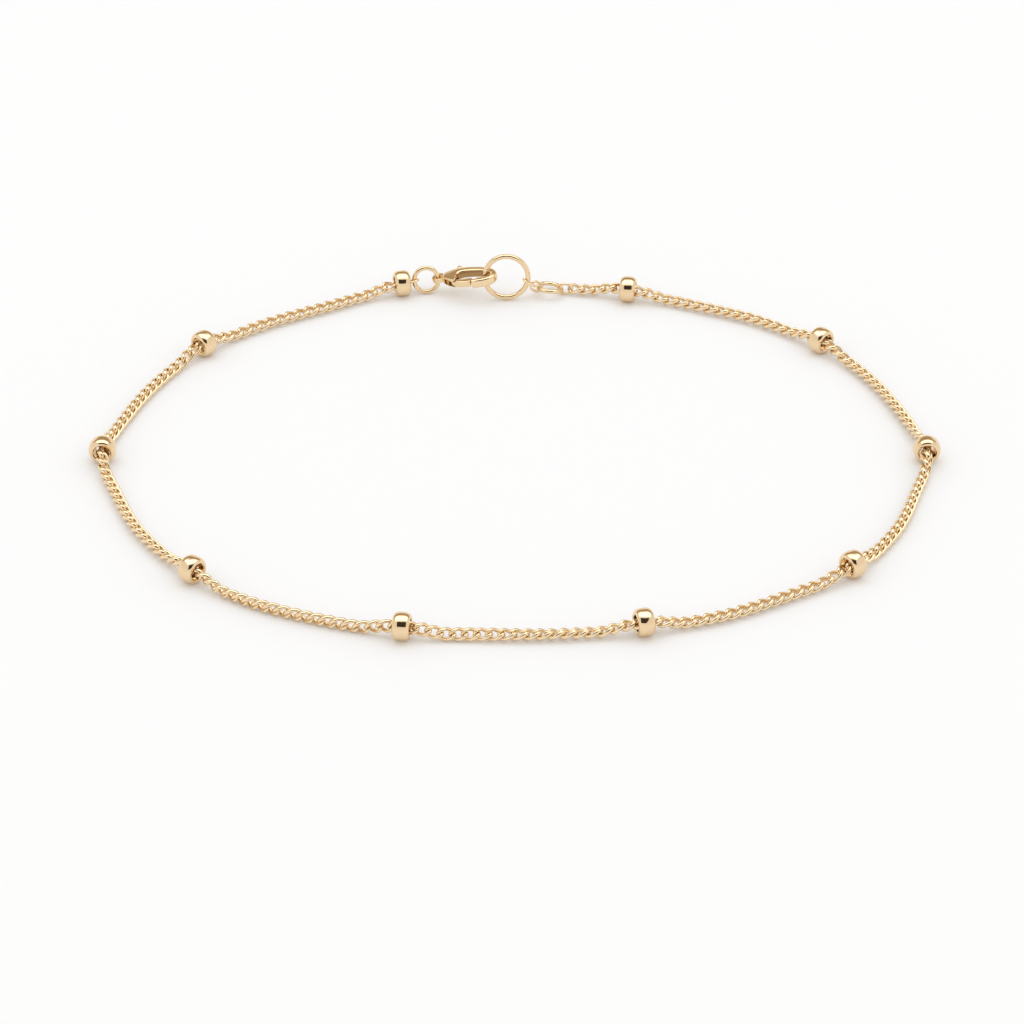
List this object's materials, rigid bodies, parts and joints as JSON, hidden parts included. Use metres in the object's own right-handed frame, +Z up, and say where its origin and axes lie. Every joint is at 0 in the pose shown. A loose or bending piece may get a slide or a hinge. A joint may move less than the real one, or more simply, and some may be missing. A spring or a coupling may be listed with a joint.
{
  "type": "satellite chain bracelet",
  "caption": "Fine yellow gold curb chain bracelet with small barrel beads spaced along it, lying as a closed oval loop, fastened at the back by a lobster clasp with a sprung lever.",
  "frame": {"origin": "centre of the bracelet's bounding box, on the surface that it lies on", "axes": "+Z up, +X along the loop's long way to the right as seen from the front, +Y towards the clasp at the back"},
  "size_m": [0.065, 0.0516, 0.0039],
  "materials": {
    "bead_gold": "mirror-polished yellow gold",
    "chain_gold": "polished yellow gold",
    "clasp_gold": "polished yellow gold"
  },
  "bodies": {
    "bracelet": {"bead_01": "bead_gold", "bead_02": "bead_gold", "bead_03": "bead_gold", "bead_04": "bead_gold", "bead_05": "bead_gold", "bead_06": "bead_gold", "bead_07": "bead_gold", "bead_08": "bead_gold", "bead_09": "bead_gold", "bead_10": "bead_gold", "chain_01": "chain_gold", "chain_02": "chain_gold", "chain_03": "chain_gold", "chain_04": "chain_gold", "chain_05": "chain_gold", "chain_06": "chain_gold", "chain_07": "chain_gold", "chain_08": "chain_gold", "chain_09": "chain_gold", "chain_10": "chain_gold", "end_link_01": "chain_gold", "end_link_02": "chain_gold", "end_link_03": "chain_gold", "end_link_04": "chain_gold", "small_ring_left": "clasp_gold", "large_ring": "clasp_gold", "small_ring_right": "clasp_gold", "clasp_body": "clasp_gold"},
    "lever": {"clasp_lever": "clasp_gold"}
  },
  "joints": [
    {"name": "clasp_lever_hinge", "type": "hinge", "parent": "bracelet", "child": "lever", "pos_m": [-0.00514, 0.02433, 0.00143], "axis": [-0.199, 0.005, 0.98], "range_deg": [0, 26], "stiffness_Nm_per_rad": 0.0008}
  ]
}
